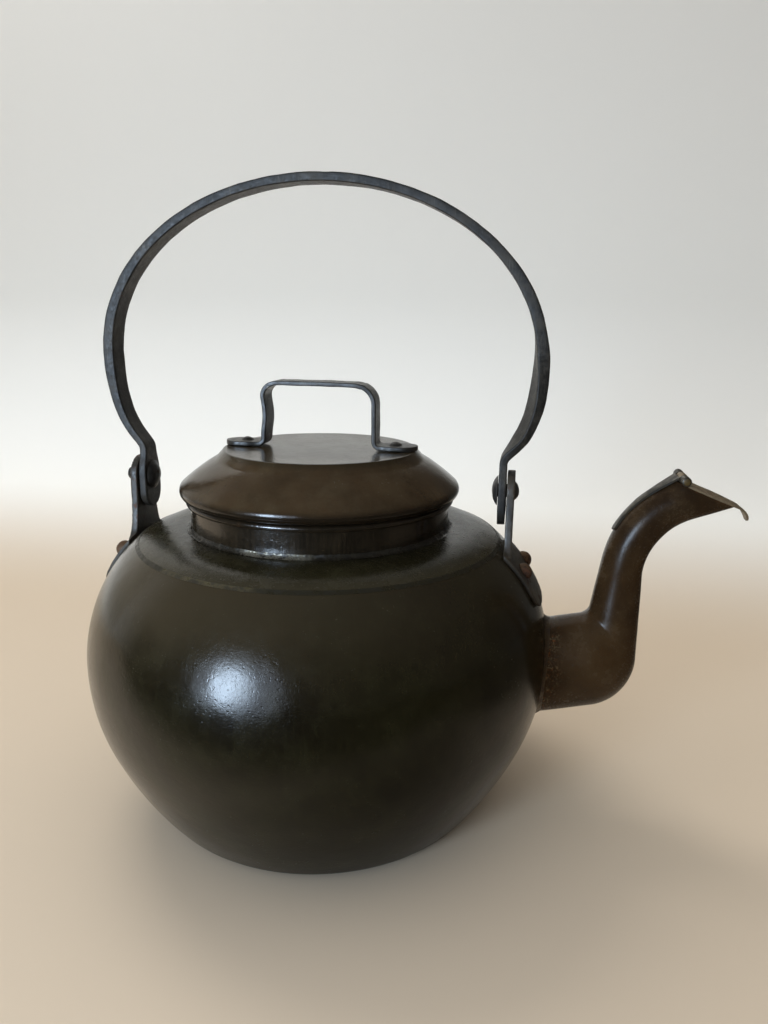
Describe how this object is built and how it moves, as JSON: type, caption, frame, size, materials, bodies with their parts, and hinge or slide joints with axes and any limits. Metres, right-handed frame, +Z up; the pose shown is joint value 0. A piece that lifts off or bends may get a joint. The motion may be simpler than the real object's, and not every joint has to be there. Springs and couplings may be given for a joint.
{
  "type": "coffee pot",
  "caption": "Round-bellied copper coffee pot with a goose-neck spout and hinged flap, an iron swing handle and a lift-off lid with a strap handle.",
  "frame": {"origin": "centre of the flat base, on the surface the pot stands on, below the axis of the body", "axes": "+Z up along the body's axis, +X from that axis towards the spout, +Y towards the left of the spout"},
  "size_m": [0.3974, 0.29, 0.3845],
  "materials": {
    "copper_body": "old brown patina over hammered copper, semi-gloss",
    "copper_shoulder": "grey-green patina over hammered copper, semi-gloss",
    "copper_neck": "worn brown patina with upright rub marks",
    "copper_spout": "reddish brown patina, semi-gloss",
    "copper_lid": "taupe patina, smooth and semi-gloss",
    "copper_collar": "worn tinned copper",
    "braze": "dull brass line",
    "tin": "wiped tin solder, grainy",
    "leaf": "tinned copper sheet, worn and tarnished",
    "pin_brass": "tarnished brass wire",
    "iron_ear": "forged iron, dark scale with rust",
    "iron_pivot": "forged iron, dark and rubbed",
    "iron_bail": "forged iron, blue-black scale, pitted",
    "iron_strap": "forged iron with rubbed edges",
    "iron_wire": "dark iron wire",
    "rivet": "rusty iron",
    "rove": "dull copper"
  },
  "bodies": {
    "pot": {"bowl": "copper_body", "shoulder": "copper_shoulder", "shoulder_braze": "braze", "neck": "copper_neck", "rim_wire": "iron_wire", "neck_solder": "tin", "spout": "copper_spout", "spout_solder": "tin", "flap_saddle": "leaf", "flap_pin": "pin_brass", "ear_front": "iron_ear", "ear_rear": "iron_ear", "ear_rivets_front": "rivet", "ear_rivets_rear": "rivet", "ear_roves_front": "rove", "ear_roves_rear": "rove", "pivot_front": "iron_pivot", "pivot_rear": "iron_pivot"},
    "bail": {"bail": "iron_bail"},
    "lid": {"lid_shell": "copper_lid", "lid_collar": "copper_collar", "lid_solder": "tin", "lid_handle": "iron_strap", "lid_rivets": "rivet", "lid_roves": "rove"},
    "flap": {"spout_flap": "leaf"}
  },
  "joints": [
    {"name": "bail_swing", "type": "hinge", "parent": "pot", "child": "bail", "pos_m": [-0.0012, 0, 0.205], "axis": [1, 0, 0], "range_deg": [-115, 115]},
    {"name": "lid_lift", "type": "slide", "parent": "pot", "child": "lid", "axis": [0, 0, 1], "range_m": [0, 0.08]},
    {"name": "flap_swing", "type": "hinge", "parent": "pot", "child": "flap", "pos_m": [0.2145, 0, 0.2175], "axis": [0, -1, 0], "range_deg": [0, 110]}
  ]
}
